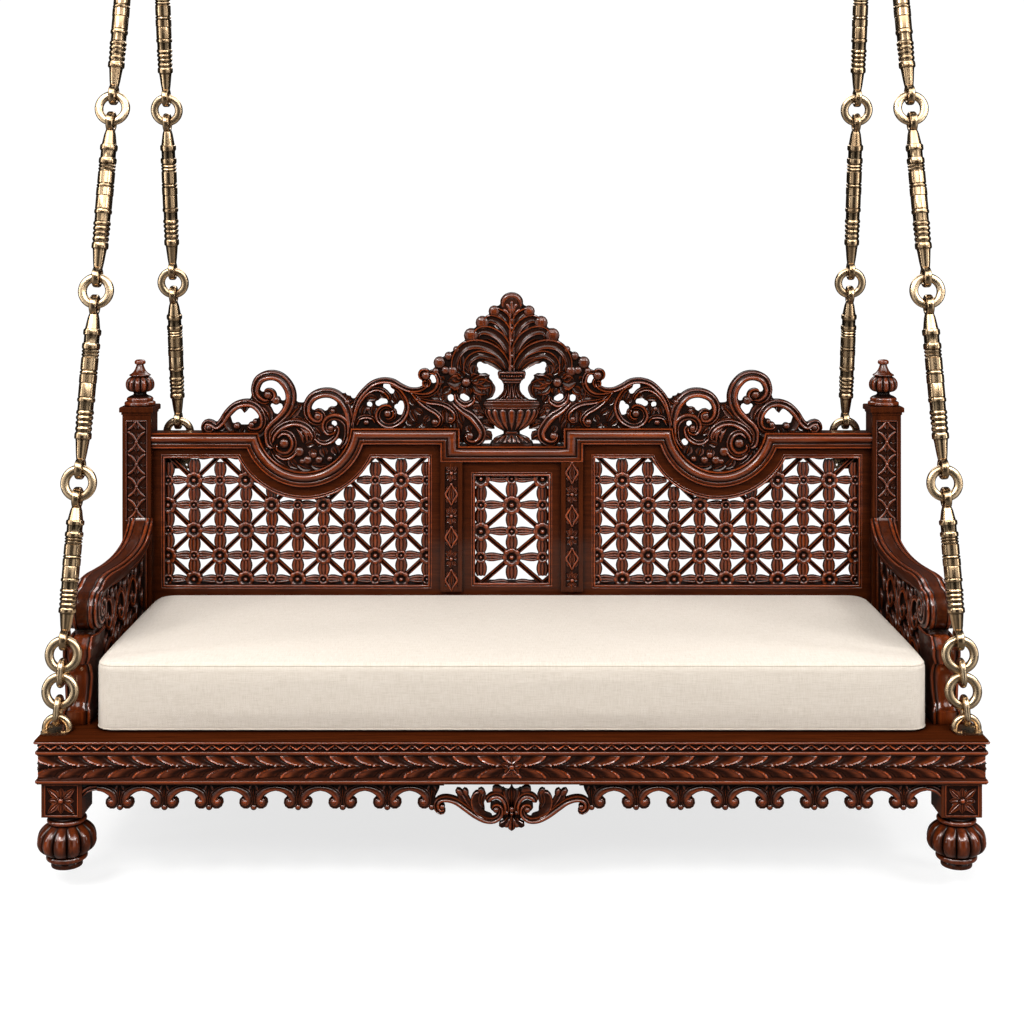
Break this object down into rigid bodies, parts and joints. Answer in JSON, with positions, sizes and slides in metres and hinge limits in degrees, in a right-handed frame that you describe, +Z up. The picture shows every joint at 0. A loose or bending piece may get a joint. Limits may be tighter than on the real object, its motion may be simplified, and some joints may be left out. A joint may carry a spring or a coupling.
{
  "type": "jhoola swing",
  "caption": "Hanging swing seat in carved dark wood with pierced lattice back, scroll crest, arms, box cushion and turned metal rod chains to ceiling pivots.",
  "frame": {"origin": "middle of the footprint, at the soles of the feet", "axes": "+X across the seat, -Y out of the front, +Z up; the seat hangs at rest"},
  "size_m": [1.8131, 0.7686, 2.531],
  "materials": {
    "rosewood": "gloss",
    "brass": "satin",
    "steel": "satin",
    "linen": "matte",
    "foam": "matte"
  },
  "bodies": {
    "ceiling": {"ceiling_plates": "brass", "pivot_pins": "brass"},
    "seat": {"apron_front": "rosewood", "apron_left": "rosewood", "apron_rear": "rosewood", "apron_right": "rosewood", "arm_cap_left": "rosewood", "arm_cap_right": "rosewood", "arm_panel_left": "rosewood", "arm_panel_right": "rosewood", "arm_post_left": "rosewood", "arm_post_right": "rosewood", "arm_sills": "rosewood", "back_bottom_rail": "rosewood", "back_post_left": "rosewood", "back_post_right": "rosewood", "back_top_rail": "rosewood", "crest_centre": "rosewood", "crest_left": "rosewood", "crest_right": "rosewood", "deck_bearers": "rosewood", "deck_board": "rosewood", "end_rail_left": "rosewood", "end_rail_right": "rosewood", "eye_plate_screws": "brass", "finials": "rosewood", "front_eye_plates": "brass", "front_rail": "rosewood", "hanger_yokes": "brass", "lattice_centre": "rosewood", "lattice_left": "rosewood", "lattice_right": "rosewood", "leaf_band_front": "rosewood", "leaf_band_left": "rosewood", "leaf_band_rear": "rosewood", "leaf_band_right": "rosewood", "leg_blocks": "rosewood", "lower_links": "brass", "melon_feet": "rosewood", "panel_frame_centre": "rosewood", "panel_frame_left": "rosewood", "panel_frame_right": "rosewood", "pilasters": "rosewood", "pivot_bushes": "brass", "post_bolts": "steel", "post_caps": "rosewood", "rear_eye_plates": "brass", "rear_rail": "rosewood", "rings_front_left": "brass", "rings_front_right": "brass", "rings_rear_left": "brass", "rings_rear_right": "brass", "rods_front_left": "brass", "rods_front_right": "brass", "rods_rear_left": "brass", "rods_rear_right": "brass"},
    "cushion": {"cushion_cover": "linen", "cushion_foam": "foam"}
  },
  "joints": [
    {"name": "swing", "type": "hinge", "parent": "ceiling", "child": "seat", "pos_m": [0, 0.032, 2.485], "axis": [1, 0, 0], "range_deg": [-22, 22]},
    {"name": "cushion_lift", "type": "slide", "parent": "seat", "child": "cushion", "axis": [0, 0, 1], "range_m": [0, 0.25]}
  ]
}
